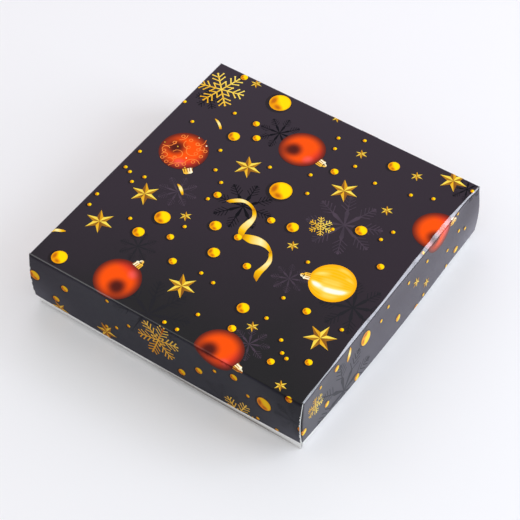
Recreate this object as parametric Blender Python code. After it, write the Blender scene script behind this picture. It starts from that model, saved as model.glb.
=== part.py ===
# Shallow gift box: a printed lid over a white tray, each folded from one sheet of board.
# X runs along the front wall, Y from front to back, Z up. The origin is the middle of the
# face that the closed box stands on.
import bpy
import bmesh
from mathutils import Matrix

MM = 0.001

# Driving dimensions of the closed box
LID_LENGTH = 200 * MM
LID_WIDTH = 204 * MM
LID_WALL_HEIGHT = 40 * MM
TRAY_SHOWING = 8 * MM
BOARD = 0.5 * MM

# Air between folded layers, and between two panels at a crease
LAYER_GAP = 0.3 * MM
CREASE_GAP = 0.3 * MM
# A crease rounds the outside of the board a little less than its thickness
CREASE_RADIUS = 0.4 * MM
CREASE_SEGMENTS = 3

# Play of the tray inside the lid on each side, and between its rim and the lid's top
FIT_PLAY = 0.5 * MM
SEAT_GAP = 0.3 * MM

# Corner flaps, caught between the layers of the double walls
FLAP_LENGTH = 36 * MM
FLAP_TAPER = 4 * MM
FLAP_CORNER = 5 * MM

# Locking tabs of the tray's inner walls, and their slots in its floor
TAB_PLACE_SHARES = (-0.25, 0.25)
TAB_WIDTH = 34 * MM
TAB_CORNER = 0.4 * MM
TAB_RECESS = 0.1 * MM
SLOT_PLAY = 0.3 * MM
CUT_OVERRUN = 2 * MM

# The outer wall, a corner flap and the inner wall lie side by side in a double wall
ROLL_THICKNESS = 3 * BOARD + 2 * LAYER_GAP
FULL_HEIGHT = LID_WALL_HEIGHT + TRAY_SHOWING

# Sizes of the tray that fits inside the lid and carries its top
TRAY_LENGTH = LID_LENGTH - 2 * (BOARD + FIT_PLAY)
TRAY_WIDTH = LID_WIDTH - 2 * (ROLL_THICKNESS + FIT_PLAY)
TRAY_HEIGHT = FULL_HEIGHT - BOARD - SEAT_GAP

# Linear colours and finish of the printed laminate and of the tray's bare board
PRINTED_DARK = (0.030, 0.026, 0.032, 1.0)
PRINTED_ROUGHNESS = 0.30
BOARD_WHITE = (0.80, 0.80, 0.79, 1.0)
BOARD_ROUGHNESS = 0.65

# A wall's outline is drawn in X and Y. These stand it up along X or along Y, with its outer
# face on the middle plane and its thickness growing towards the inside of the box.
STAND_ALONG_X = Matrix(((1, 0, 0, 0), (0, 0, 1, 0), (0, 1, 0, 0), (0, 0, 0, 1)))
STAND_ALONG_Y = Matrix(((0, 0, -1, 0), (1, 0, 0, 0), (0, 1, 0, 0), (0, 0, 0, 1)))
MIRROR_X = Matrix.Scale(-1, 4, (1, 0, 0))
MIRROR_Y = Matrix.Scale(-1, 4, (0, 1, 0))
MIRROR_Z = Matrix.Scale(-1, 4, (0, 0, 1))
UNTURNED = Matrix.Identity(4)


def clear_scene():
    for obj in list(bpy.data.objects):
        bpy.data.objects.remove(obj, do_unlink=True)


def make_material(name, color, roughness):
    material = bpy.data.materials.new(name)
    material.use_nodes = True
    shader = material.node_tree.nodes["Principled BSDF"]
    shader.inputs["Base Color"].default_value = color
    shader.inputs["Roughness"].default_value = roughness
    shader.inputs["Metallic"].default_value = 0
    material.diffuse_color = color
    return material


def face_outwards(sheet):
    """Make the faces agree, and turn them all if they enclose a negative volume."""
    bmesh.ops.recalc_face_normals(sheet, faces=sheet.faces)
    if sheet.calc_volume(signed=True) < 0:
        bmesh.ops.reverse_faces(sheet, faces=sheet.faces)


def add_panel(half, name, sheet, place):
    """Make one panel an object of its half of the box, in its own material."""
    sheet.transform(half["turn"] @ place)
    face_outwards(sheet)
    full_name = half["name"] + "_" + name
    mesh = bpy.data.meshes.new(full_name)
    sheet.to_mesh(mesh)
    sheet.free()
    panel = bpy.data.objects.new(full_name, mesh)
    panel.data.materials.append(make_material(full_name, half["color"], half["roughness"]))
    panel.parent = half["carrier"]
    bpy.context.scene.collection.objects.link(panel)
    return panel


def cut_sheet(outline, thickness=BOARD):
    """Flat board with the given outline in X and Y, one board thick upwards from zero."""
    sheet = bmesh.new()
    corners = [sheet.verts.new((x, y, 0)) for x, y in outline]
    face = sheet.faces.new(corners)
    raised = bmesh.ops.extrude_face_region(sheet, geom=[face])
    lifted = [item for item in raised["geom"] if isinstance(item, bmesh.types.BMVert)]
    bmesh.ops.translate(sheet, verts=lifted, vec=(0, 0, thickness))
    return sheet


def rectangle(low_x, high_x, low_y, high_y):
    return [(low_x, low_y), (high_x, low_y), (high_x, high_y), (low_x, high_y)]


def round_creases(sheet, is_crease):
    """Round the outer edges whose two ends both pass is_crease, as folding rounds the board."""
    edges = []
    for edge in sheet.edges:
        ends = [vert.co for vert in edge.verts]
        if ends[0].z == ends[1].z == 0 and is_crease(ends[0], ends[1]):
            edges.append(edge)
    bmesh.ops.bevel(
        sheet, geom=edges, offset=CREASE_RADIUS, segments=CREASE_SEGMENTS,
        profile=0.5, affect="EDGES", material=-1,
    )


def add_floor(half):
    """The middle panel, which all four walls fold up from, with a slot for each locking tab."""
    length, width = half["length"], half["width"]
    sheet = cut_sheet(rectangle(-length / 2, length / 2, -width / 2, width / 2))
    round_creases(sheet, lambda start, end: True)
    floor = add_panel(half, half["floor_name"], sheet, UNTURNED)
    if half["tabs"]:
        cut_slots(half, floor)


def cut_slots(half, floor):
    """Slots in the floor, each as much larger than its tab as the play asks."""
    slots = bmesh.new()
    half_slot = TAB_WIDTH / 2 + SLOT_PLAY
    outer_side = half["width"] / 2 - ROLL_THICKNESS + BOARD + SLOT_PLAY
    inner_side = half["width"] / 2 - ROLL_THICKNESS - SLOT_PLAY
    for share in TAB_PLACE_SHARES:
        middle = share * half["length"]
        for low_y, high_y in ((-outer_side, -inner_side), (inner_side, outer_side)):
            outline = rectangle(middle - half_slot, middle + half_slot, low_y, high_y)
            slot = cut_sheet(outline, BOARD + 2 * CUT_OVERRUN)
            bmesh.ops.translate(slot, verts=slot.verts, vec=(0, 0, -CUT_OVERRUN))
            face_outwards(slot)
            joined = bpy.data.meshes.new("slot")
            slot.to_mesh(joined)
            slot.free()
            slots.from_mesh(joined)
            bpy.data.meshes.remove(joined)
    mesh = bpy.data.meshes.new("tab_slots_cutter")
    slots.to_mesh(mesh)
    slots.free()
    cutter = bpy.data.objects.new("tab_slots_cutter", mesh)
    cutter.hide_render = True
    cutter.display_type = "WIRE"
    cutter.parent = half["carrier"]
    bpy.context.scene.collection.objects.link(cutter)
    cut = floor.modifiers.new("tab_slots", "BOOLEAN")
    cut.operation = "DIFFERENCE"
    cut.solver = "EXACT"
    cut.object = cutter


def add_side_walls(half):
    """Single walls at the left and right, with a raw rim and a crease at each upright end."""
    reach = half["width"] / 2 - BOARD - LAYER_GAP
    low, high = BOARD + CREASE_GAP, half["height"]
    for side, mirror in (("right", UNTURNED), ("left", MIRROR_X)):
        sheet = cut_sheet(rectangle(-reach, reach, low, high))
        round_creases(sheet, lambda start, end: abs(start.x) == abs(end.x) and start.x == end.x)
        stand = Matrix.Translation((half["length"] / 2, 0, 0)) @ STAND_ALONG_Y
        add_panel(half, side + "_side_wall", sheet, mirror @ stand)


def add_corner_flaps(half):
    """Flaps on the upright ends of the side walls, turned in between the double wall's layers."""
    root = half["length"] / 2 - BOARD - CREASE_GAP
    tip = root - FLAP_LENGTH
    low, high = BOARD + CREASE_GAP, half["height"] - BOARD - CREASE_GAP
    outline = [
        (root, low),
        (root, high),
        (tip + FLAP_CORNER, high - FLAP_TAPER),
        (tip, high - FLAP_TAPER - FLAP_CORNER),
        (tip, low + FLAP_TAPER + FLAP_CORNER),
        (tip + FLAP_CORNER, low + FLAP_TAPER),
    ]
    outer_face = half["width"] / 2 - BOARD - LAYER_GAP
    stand = Matrix.Translation((0, -outer_face, 0)) @ STAND_ALONG_X
    for wall, mirror_wall in (("front", UNTURNED), ("back", MIRROR_Y)):
        for side, mirror_side in (("right", UNTURNED), ("left", MIRROR_X)):
            name = wall + "_" + side + "_corner_flap"
            add_panel(half, name, cut_sheet(outline), mirror_wall @ mirror_side @ stand)


def inner_wall_outline(half, reach, low, high):
    """An inner wall, with the locking tabs along its lower edge if this half has them."""
    outline = [(reach, low), (reach, high), (-reach, high), (-reach, low)]
    if half["tabs"]:
        for share in TAB_PLACE_SHARES:
            middle = share * half["length"]
            outline += [
                (middle - TAB_WIDTH / 2, low),
                (middle - TAB_WIDTH / 2, TAB_RECESS + TAB_CORNER),
                (middle - TAB_WIDTH / 2 + TAB_CORNER, TAB_RECESS),
                (middle + TAB_WIDTH / 2 - TAB_CORNER, TAB_RECESS),
                (middle + TAB_WIDTH / 2, TAB_RECESS + TAB_CORNER),
                (middle + TAB_WIDTH / 2, low),
            ]
    return outline


def add_double_walls(half):
    """Front and back: an outer wall, a narrow web over the rim, and an inner wall behind it."""
    full_reach = half["length"] / 2
    inner_reach = full_reach - BOARD - LAYER_GAP
    low, high = BOARD + CREASE_GAP, half["height"] - BOARD - CREASE_GAP
    outer_face = half["width"] / 2
    inner_face = outer_face - ROLL_THICKNESS + BOARD
    for wall, mirror in (("front", UNTURNED), ("back", MIRROR_Y)):
        sheet = cut_sheet(rectangle(-full_reach, full_reach, low, high))
        stand = Matrix.Translation((0, -outer_face, 0)) @ STAND_ALONG_X
        add_panel(half, wall + "_outer_wall", sheet, mirror @ stand)

        sheet = cut_sheet(rectangle(-inner_reach, inner_reach, 0, ROLL_THICKNESS))
        round_creases(sheet, lambda start, end: start.y == end.y)
        lay = Matrix.Translation((0, -outer_face, half["height"])) @ MIRROR_Z
        add_panel(half, wall + "_rim_web", sheet, mirror @ lay)

        sheet = cut_sheet(inner_wall_outline(half, inner_reach, low, high))
        stand = Matrix.Translation((0, -inner_face, 0)) @ STAND_ALONG_X
        add_panel(half, wall + "_inner_wall", sheet, mirror @ stand)


def fold_half(half):
    """Fold one blank: its middle panel, two single walls, two double walls and four flaps."""
    carrier = bpy.data.objects.new(half["name"] + "_carrier", None)
    carrier.location = (0, 0, half["base_height"])
    bpy.context.scene.collection.objects.link(carrier)
    half["carrier"] = carrier
    add_floor(half)
    add_side_walls(half)
    add_corner_flaps(half)
    add_double_walls(half)


def build_box():
    clear_scene()
    tray = {
        "name": "tray",
        "floor_name": "floor_panel",
        "length": TRAY_LENGTH,
        "width": TRAY_WIDTH,
        "height": TRAY_HEIGHT,
        "base_height": 0,
        "turn": UNTURNED,
        "tabs": True,
        "color": BOARD_WHITE,
        "roughness": BOARD_ROUGHNESS,
    }
    lid = {
        "name": "lid",
        "floor_name": "top_panel",
        "length": LID_LENGTH,
        "width": LID_WIDTH,
        "height": LID_WALL_HEIGHT,
        "base_height": FULL_HEIGHT,
        "turn": MIRROR_Z,
        "tabs": False,
        "color": PRINTED_DARK,
        "roughness": PRINTED_ROUGHNESS,
    }
    fold_half(tray)
    fold_half(lid)


build_box()
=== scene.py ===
import math

import bmesh
import bpy
from mathutils import Matrix, Quaternion, Vector, noise


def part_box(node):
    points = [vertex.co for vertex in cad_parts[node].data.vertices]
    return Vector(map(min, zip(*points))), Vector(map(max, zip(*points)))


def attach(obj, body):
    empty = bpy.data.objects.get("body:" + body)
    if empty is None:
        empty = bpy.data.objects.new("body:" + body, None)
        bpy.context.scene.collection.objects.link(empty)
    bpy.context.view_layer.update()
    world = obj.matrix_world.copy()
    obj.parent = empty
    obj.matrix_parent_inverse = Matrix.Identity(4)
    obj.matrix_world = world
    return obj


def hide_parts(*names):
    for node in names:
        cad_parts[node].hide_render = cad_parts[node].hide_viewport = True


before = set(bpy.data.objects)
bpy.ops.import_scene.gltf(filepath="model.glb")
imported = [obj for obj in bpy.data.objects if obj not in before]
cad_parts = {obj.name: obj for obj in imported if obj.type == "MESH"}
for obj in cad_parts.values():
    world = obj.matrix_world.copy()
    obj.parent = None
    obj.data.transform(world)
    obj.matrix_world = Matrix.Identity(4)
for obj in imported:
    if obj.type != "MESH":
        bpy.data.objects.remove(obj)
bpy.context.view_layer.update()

mm = 0.001  # the frame is in metres; sheets and prints are laid out in millimetres


# Camera, as the photograph was taken
cameraSetup = {
    "aim": (19.4, -26.7, 48.0),  # the spot of the lid's top that the lens looks at
    "azimuth": 34.26,
    "elevation": 49.9,
    "distance": 1064.3,
    "roll": 0.05,
    "lens": 121.0,
    "sensor": 36.0,
    "imageSide": 520,
    "clip": (0.05, 20),  # in metres
}


def directionOf(setup):
    # the unit vector from the box towards the camera or a lamp
    around = math.radians(setup["azimuth"])
    above = math.radians(setup["elevation"])
    level = math.cos(above)
    return Vector((math.sin(around) * level, -math.cos(around) * level, math.sin(above)))


def makeCamera(setup):
    back = directionOf(setup)
    place = (Vector(setup["aim"]) + back * setup["distance"]) * mm
    turn = (-back).to_track_quat("-Z", "Y") @ Quaternion((0, 0, 1), math.radians(setup["roll"]))
    lens = bpy.data.cameras.new("camera")
    lens.lens = setup["lens"]
    lens.sensor_width = setup["sensor"]
    lens.clip_start, lens.clip_end = setup["clip"]
    camera = bpy.data.objects.new("camera", lens)
    camera.matrix_world = Matrix.LocRotScale(place, turn, None)
    bpy.context.scene.collection.objects.link(camera)
    bpy.context.scene.camera = camera
    return camera.matrix_world.inverted()


worldToCamera = makeCamera(cameraSetup)


def toPixel(point):
    # where a point, in millimetres, falls in the photograph
    seen = worldToCamera @ (point * mm)
    side = cameraSetup["imageSide"]
    scale = cameraSetup["lens"] / cameraSetup["sensor"] * side
    return Vector((side / 2 - scale * seen.x / seen.z, side / 2 + scale * seen.y / seen.z))


print("camera set")


# Small helpers
def smoothRise(low, high, value):
    share = min(1.0, max(0.0, (value - low) / (high - low)))
    return share * share * (3 - 2 * share)


def between(points, place):
    # straight lines between (place, value) pairs
    if place <= points[0][0]:
        return points[0][1]
    for (start, low), (end, high) in zip(points, points[1:]):
        if place <= end:
            return low + (high - low) * (place - start) / (end - start)
    return points[-1][1]


def stepsFrom(start, stop, step):
    count = max(1, round((stop - start) / step))
    return [start + (stop - start) * n / count for n in range(count + 1)]


# The two folded halves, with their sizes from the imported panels
def readHalf(part, panel, opens):
    low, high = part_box(f"{part}_{panel}")
    webLow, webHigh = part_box(f"{part}_front_rim_web")
    innerLow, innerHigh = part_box(f"{part}_front_inner_wall")
    face = high.z if opens < 0 else low.z
    rim = webLow.z if opens < 0 else webHigh.z
    innerEnd = innerHigh.z if opens < 0 else innerLow.z
    return {
        "part": part,
        "opens": opens,  # -1 if the walls hang down from the panel, 1 if they stand on it
        "face": face / mm,
        "halfX": high.x / mm,
        "halfY": high.y / mm,
        "wall": abs(face - rim) / mm,
        "board": (high.z - low.z) / mm,
        "slit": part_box(f"{part}_right_side_wall")[1].y / mm,
        "rollWidth": (webHigh.y - webLow.y) / mm,
        "innerReach": innerHigh.x / mm,
        "innerDepth": abs(rim - innerEnd) / mm,
        "flapReach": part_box(f"{part}_front_right_corner_flap")[0].x / mm,
    }


def eachSide(value, **others):
    # the same value for every side, but for those that are named
    return {"left": value, "back": value, "front": value, "right": value, **others}


lid = readHalf("lid", "top_panel", -1)
lid.update({
    "creaseRadius": 0.5,
    "creaseTilt": 34,
    "rimRadius": 0.7,
    "cornerRadius": 0.8,
    "headroom": 1.0,  # the corner flaps start this far below the top's corner
    # width of the flattened strip along each crease, by the place along it
    "slopes": eachSide(
        [(0, 0.4)],
        front=[(-102, 0.45), (56, 0.4), (60, 0.05)],
        right=[
            (-102, 1.0), (-92, 1.2), (-82, 0.5), (-71, 0.6), (-61, 1.1), (-50, 1.6), (-41, 1.8), (-30, 1.8),
            (-20, 1.2), (-10, 1.1), (0, 1.4), (20, 2.0), (41, 2.3), (61, 2.5), (70, 2.2), (82, 0.9),
            (102, 0.7),
        ],
    ),
    # how far inside the straight edge each crease runs
    "pinches": eachSide(
        [(0, 0.0)],
        right=[
            (-102, -0.4), (-89, -0.2), (-81, 0.2), (-65, 0.2), (-48, 0.5), (-24, 0.65), (0, 0.8),
            (40, 0.85),
            (57, 1.0), (73, 1.1), (82, 1.3), (90, 1.0), (97, 0.15), (102, 0.0),
        ],
    ),
    # how glossy the stretched film on each crease is
    "shines": eachSide(
        [(0, 0.6)],
        front=[(-102, 1.0), (-45, 1.0), (-20, 0.55), (20, 0.35), (56, 0.0)],
        right=[(0, 1.0)],
    ),
    "scuffs": eachSide([(0, 0.0)]),
    # painted shade over each wall beside the top's, most on the front wall, and how glossy each wall's film
    # is
    "dulls": eachSide(0.1, front=0.36, right=0.0),
    "glosses": eachSide(0.0, right=0.33),
    "ragged": 0.25,  # how much the strip along the right crease varies in width
    # how far each wall stands proud: at its rim in the middle, and half-way down at its ends
    "swell": {
        "front": {"rim": 1.2, "lowEnd": 1.6, "highEnd": 2.3},
        "back": {"rim": 1.0, "lowEnd": 1.2, "highEnd": 0.6},
        "left": {"rim": 1.8, "lowEnd": 0.0, "highEnd": 0.0},
        "right": {"rim": 2.5, "lowEnd": 0.0, "highEnd": 1.6, "flare": 1.0},
    },
})
flatWall = {"rim": 0.0, "lowEnd": 0.0, "highEnd": 0.0}
tray = readHalf("tray", "floor_panel", 1)
tray.update({
    "creaseRadius": 0.9,
    "creaseTilt": 45,
    "rimRadius": 0.7,
    "cornerRadius": 0.8,
    "headroom": 1.0,
    "slopes": eachSide([(0, 0.2)]),
    "shines": eachSide([(0, 0.0)]),
    "dulls": eachSide(0.0),
    "glosses": eachSide(0.0),
    # painted contact shadow along the tray's bottom crease, heaviest at the front and left where the box
    # shades the floor
    "scuffs": eachSide(
        [(0, 0.0)],
        left=[(0, 0.6)],
        back=[(0, 0.3)],
        front=[(-98, 0.5), (-60, 0.4), (10, 0.9), (70, 1.0), (90, 0.5), (98, 0.0)],
    ),
    "ragged": 0.0,
    "pinches": eachSide([(0, 0.0)], front=[(-98, 0.0), (-30, -0.3), (20, -0.9), (60, -1.3), (98, -1.3)]),
    # the right wall's top gives way under the lid's wandering crease
    "swell": eachSide(flatWall, right={**flatWall, "dent": [
        (-60, 0.0), (-48, 0.1), (-24, 0.25), (0, 0.4), (40, 0.45), (57, 0.6), (73, 0.7), (82, 0.95),
        (90, 0.65),
        (96, 0.0),
    ]}),
    "tabShares": (-0.25, 0.25),
    "tabWidth": 34,
    "tabPlay": 0.3,
    "tabDepth": 0.7,  # how far a tab reaches below its wall's lower edge
    "sideDrop": 0.9,  # the single walls stop this far below the rolled rims
})


def slopeWidth(half, side, along):
    width = between(half["slopes"][side], along)
    if half["ragged"] and side == "right":
        width += half["ragged"] * noise.noise(Vector((along * 0.17, 7.0, 0.0))) * smoothRise(0.9, 2.0, width)
    return width


def firstBend(half, side, along, past):
    # The crease beside the flat panel. past is how far beyond the panel's sharp edge the spot lies in the
    # flat sheet. Gives how far out and down it goes, and how far the surface has turned.
    pinch = between(half["pinches"][side], along)
    out, down, turn = bendFrom(half, slopeWidth(half, side, along), past + pinch)
    # the wall comes back out, and up, to its own line lower down
    back = smoothRise(0.0, 0.6, (down - pinch) / half["wall"])
    return out - pinch * (1 - back), down - pinch * back, turn


def bendFrom(half, slope, past):
    radius = half["creaseRadius"]
    tilt = math.radians(half["creaseTilt"])
    before = radius + slope * math.cos(tilt)
    after = radius + slope * math.sin(tilt)
    if past <= -before:
        return past, 0.0, 0.0
    if past >= after:
        return 0.0, past, math.pi / 2
    run = (past + before) / (before + after) * (radius * math.pi / 2 + slope)
    if run < radius * tilt:
        turn = run / radius
        return radius * math.sin(turn) - before, radius * (1 - math.cos(turn)), turn
    run -= radius * tilt
    if run < slope:
        out = radius * math.sin(tilt) - before + run * math.cos(tilt)
        return out, radius * (1 - math.cos(tilt)) + run * math.sin(tilt), tilt
    turn = tilt + (run - slope) / radius
    return radius * (math.sin(turn) - 1), after - radius * math.cos(turn), turn


def rolledPath(half, side, along, past):
    # A double wall: down outside, round the rim and up again inside
    radius = half["rimRadius"]
    corner = half["wall"] - radius
    if past <= corner:
        return firstBend(half, side, along, past)
    quarter = radius * math.pi / 2
    flat = half["rollWidth"] - 2 * radius
    run = past - corner
    if run < quarter:
        turn = run / radius
        return radius * (math.cos(turn) - 1), corner + radius * math.sin(turn), math.pi / 2 + turn
    run -= quarter
    if run < flat:
        return -radius - run, half["wall"], math.pi
    run -= flat
    if run < quarter:
        turn = run / radius
        out = radius - half["rollWidth"] - radius * math.sin(turn)
        return out, corner + radius * math.cos(turn), math.pi + turn
    return -half["rollWidth"], corner - (run - quarter), 1.5 * math.pi


def rolledLength(half, depth):
    # how far past the panel's edge the sheet ends, when the inner wall is this deep
    radius = half["rimRadius"]
    return half["wall"] - 2 * radius + radius * math.pi + half["rollWidth"] - 2 * radius + depth


wallShape = {
    "fullness": 1.2,  # higher numbers keep the swell nearer the rim
    "dentFullness": 3,
    "endsFrom": 0.55,  # share of the wall's half length where its ends start
    "flareFrom": 0.6,
}


def swellOf(half, side, along, down, outer):
    shape = half["swell"][side]
    reach = half["halfX"] if side in ("front", "back") else half["halfY"]
    share = max(-1.0, min(1.0, along / reach))
    depth = max(0.0, min(1.0, down / half["wall"]))
    dent = between(shape.get("dent", [(0, 0.0)]), along) * depth ** wallShape["dentFullness"]
    out = shape["rim"] * (1 - share * share) * depth ** wallShape["fullness"] - dent
    if outer:
        lowEnd = shape["lowEnd"] * smoothRise(wallShape["endsFrom"], 1.0, -share)
        highEnd = shape["highEnd"] * smoothRise(wallShape["endsFrom"], 1.0, share)
        flare = shape.get("flare", 0) * smoothRise(wallShape["flareFrom"], 1.0, share) * depth
        out += (lowEnd + highEnd) * math.sin(math.pi * depth) + flare
    return out


sideZone = 5.0  # the sheet bends as the side wall's from this far inside the panel's edge


def sideFolds(half, x, y):
    return abs(x) > half["halfX"] - sideZone and not (abs(x) <= half["halfX"] and abs(y) > half["slit"])


def foldPoint(half, x, y, lift=0.0, asSide=None, wallPath=rolledPath):
    # Takes a spot of the flat sheet to its place on the folded half, in millimetres.
    # The flat sheet has the panel in its middle, with the outside of the board facing up.
    if asSide is None:
        asSide = sideFolds(half, x, y)
    if asSide:
        side = "right" if x > 0 else "left"
        out, down, turn = firstBend(half, side, y, abs(x) - half["halfX"])
        out += swellOf(half, side, y, down, True)
        reach, along = half["halfX"] + out + lift * math.sin(turn), abs(y)
        radius = half["cornerRadius"]
        start = half["slit"] - radius
        if along > start and turn > 0:
            corner = min((along - start) / radius, math.pi / 2)
            ahead = max(0.0, along - start - radius * math.pi / 2)
            upright = math.sin(turn)
            reach -= (radius * (1 - math.cos(corner)) + ahead) * upright
            along = start + radius * math.sin(corner) * upright + (along - start) * (1 - upright)
        place = (math.copysign(reach, x), math.copysign(along, y))
    else:
        side = "front" if y < 0 else "back"
        out, down, turn = wallPath(half, side, x, abs(y) - half["halfY"])
        out += swellOf(half, side, x, down, turn <= math.pi / 2)
        place = (x, math.copysign(half["halfY"] + out + lift * math.sin(turn), y))
    height = half["face"] + half["opens"] * (down - lift * math.cos(turn))
    return Vector((place[0], place[1], height))


foldGrid = {"crease": 0.16, "roll": 0.2}  # how finely the sheet is cut across its bends, in millimetres


def foldLines(half):
    # where the flat sheet is cut finely enough to follow its creases
    radius = half["rimRadius"]
    sharpEnd = half["wall"] - radius
    rollEnd = sharpEnd + radius * math.pi + half["rollWidth"] - 2 * radius
    cornerStart = half["slit"] - half["cornerRadius"]
    cornerEnd = cornerStart + half["cornerRadius"] * math.pi / 2
    acrossX, acrossY = [], []
    for side, sign in (("left", -1), ("right", 1)):
        widest = max(width for place, width in half["slopes"][side]) + half["ragged"] * (side == "right")
        zone = half["creaseRadius"] + widest + max(pinch for place, pinch in half["pinches"][side])
        acrossX += [sign * (half["halfX"] + n) for n in stepsFrom(-zone, zone * 0.75, foldGrid["crease"])]
        acrossX += [sign * half["halfX"], sign * (half["halfX"] + half["headroom"])]
        acrossX += [sign * (half["halfX"] + half["wall"]), sign * half["innerReach"]]
    for sign in (-1, 1):
        zone = half["creaseRadius"] + 0.45
        acrossY += [sign * (half["halfY"] + n) for n in stepsFrom(-zone, zone, foldGrid["crease"])]
        acrossY += [sign * (half["halfY"] + n) for n in stepsFrom(sharpEnd, rollEnd, foldGrid["roll"])]
        acrossY += [sign * n for n in stepsFrom(cornerStart, cornerEnd, foldGrid["roll"])]
        acrossY += [sign * half["slit"]]
    return acrossX, acrossY


def turnEnd(half):
    # where the side wall's sheet has turned the corner
    return half["slit"] + half["cornerRadius"] * (math.pi / 2 - 1)


def onOuterSheet(half, x, y):
    across, along = abs(x), abs(y)
    if across <= half["halfX"] and along <= half["halfY"] + half["wall"] - half["rimRadius"]:
        return True
    sideEnd = half["halfX"] + half["wall"] - half.get("sideDrop", 0)
    if across > sideEnd:
        return False
    return along <= (turnEnd(half) if across > half["halfX"] + half["headroom"] else half["slit"])


def cutLines(sheet, acrossX, acrossY):
    # cuts a flat sheet at these places of its two axes
    for places, normal in ((acrossX, Vector((1, 0, 0))), (acrossY, Vector((0, 1, 0)))):
        for place in sorted(set(places)):
            geometry = sheet.verts[:] + sheet.edges[:] + sheet.faces[:]
            bmesh.ops.bisect_plane(sheet, geom=geometry, dist=1e-5, plane_co=normal * place, plane_no=normal)


def trimSheet(sheet, keeps):
    outside = [face for face in sheet.faces if not keeps(*face.calc_center_median()[:2])]
    bmesh.ops.delete(sheet, geom=outside, context="FACES")


creaseRows = {"spacing": 1.5, "inside": 6.0, "outside": 3.0}


def cutAlongCrease(half, sheet):
    # finer rows where the right crease wanders
    low, high = half["halfX"] - creaseRows["inside"], half["halfX"] + creaseRows["outside"]
    faces = [face for face in sheet.faces if low < face.calc_center_median().x < high]
    near = set(faces)
    for face in faces:
        near.update(face.edges, face.verts)
    geometry = list(near)
    for place in stepsFrom(-half["halfY"], half["halfY"], creaseRows["spacing"])[1:-1]:
        geometry = bmesh.ops.bisect_plane(
            sheet, geom=geometry, dist=1e-5, plane_co=(0, place, 0), plane_no=(0, 1, 0)
        )["geom"]


def cutBlank(rangeX, rangeY, spacing, acrossX=(), acrossY=(), keeps=None):
    # a flat sheet over two ranges, cut along the lines and without what keeps() turns down
    lowX, highX = sorted(rangeX)
    lowY, highY = sorted(rangeY)
    sheet = bmesh.new()
    bmesh.ops.create_grid(
        sheet,
        x_segments=max(1, round((highX - lowX) / spacing)),
        y_segments=max(1, round((highY - lowY) / spacing)),
        size=0.5,
        matrix=Matrix.Translation(((lowX + highX) / 2, (lowY + highY) / 2, 0))
        @ Matrix.Diagonal((highX - lowX, highY - lowY, 1, 1)),
    )
    insideX = [place for place in acrossX if lowX < place < highX]
    cutLines(sheet, insideX, [place for place in acrossY if lowY < place < highY])
    if keeps:
        trimSheet(sheet, keeps)
    return sheet


# where the line of painted shade beside each crease lies
creaseShadeLine = {"offset": 0.35, "reach": 0.75, "strength": 1.6}
# how far the surface has turned, in radians, where each mark starts and where it is full
creaseTurns = {
    "shineStart": (0.1, 0.4),
    "shineEnd": (0.8, 1.1),
    "shadowStart": (0.5, 0.8),
    "shadowEnd": (1.15, 1.5),
    "wallStart": (1.2, 1.5),
}


def creaseMarks(half, x, y):
    # how much painted shade, shine and painted contact shadow a spot gets: a crease has a dark line of
    # painted shade at the wall's side, standing in for the shade there, and a stretched, shiny strip
    if sideFolds(half, x, y):
        side, along, past = ("right" if x > 0 else "left"), y, abs(x) - half["halfX"]
    else:
        side, along, past = ("front" if y < 0 else "back"), x, abs(y) - half["halfY"]
    line = half["creaseRadius"] + slopeWidth(half, side, along) * math.sin(math.radians(half["creaseTilt"]))
    line -= between(half["pinches"][side], along)
    away = abs(past - line - creaseShadeLine["offset"]) / creaseShadeLine["reach"]
    # painted shade: a dark line on the wall's side of the crease
    shadeShare = min(1.0, creaseShadeLine["strength"] * max(0.0, 1 - away))
    turn = firstBend(half, side, along, past)[2]
    share = {mark: smoothRise(*limits, turn) for mark, limits in creaseTurns.items()}
    stretched = share["shineStart"] * (1 - share["shineEnd"]) * between(half["shines"][side], along)
    # painted contact shadow where the board turns at the bottom crease
    shadowed = between(half["scuffs"][side], along) * share["shadowStart"] * (1 - share["shadowEnd"])
    onWall = share["wallStart"]
    # painted shade over the whole wall, heaviest on the lid's front wall
    shadeShare = max(shadeShare, half["dulls"][side] * onWall)
    stretched += half["glosses"][side] * onWall
    return shadeShare, stretched, shadowed


def foldSheet(half, sheet, lift=0.0):
    # folds a flat sheet in place and records the painted shade, shine and painted contact shadow of its
    # creases
    score = sheet.verts.layers.float.new("score")
    shine = sheet.verts.layers.float.new("shine")
    scuff = sheet.verts.layers.float.new("scuff")
    slitStart = half["halfX"] - sideZone - 0.01
    slit = [
        edge
        for edge in sheet.edges
        if all(abs(abs(v.co.y) - half["slit"]) < 1e-4 and abs(v.co.x) > slitStart for v in edge.verts)
    ]
    bmesh.ops.split_edges(sheet, edges=slit)
    for vert in sheet.verts:
        centre = vert.link_faces[0].calc_center_median() if vert.link_faces else vert.co
        vert[score], vert[shine], vert[scuff] = creaseMarks(half, vert.co.x, vert.co.y)
        vert.tag = sideFolds(half, centre.x, centre.y)
    places = [foldPoint(half, v.co.x, v.co.y, lift + v.co.z, v.tag) * mm for v in sheet.verts]
    for vert, place in zip(sheet.verts, places):
        vert.co = place
    if half["opens"] > 0:
        bmesh.ops.reverse_faces(sheet, faces=sheet.faces)
    sheet.normal_update()


def addPiece(shape, name, body, materials, nodes=()):
    mesh = bpy.data.meshes.new(name)
    for face in shape.faces:
        face.smooth = True
    for edge in shape.edges:
        if edge.is_boundary:
            edge.smooth = False
    shape.to_mesh(mesh)
    shape.free()
    for material in materials:
        mesh.materials.append(material)
    piece = bpy.data.objects.new(name, mesh)
    bpy.context.scene.collection.objects.link(piece)
    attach(piece, body)
    if nodes:
        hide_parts(*nodes)
    return piece


def moveInto(target, shape):
    # adds a finished flat shape to another
    loose = bpy.data.meshes.new("loose")
    shape.to_mesh(loose)
    shape.free()
    target.from_mesh(loose)
    bpy.data.meshes.remove(loose)


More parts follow.
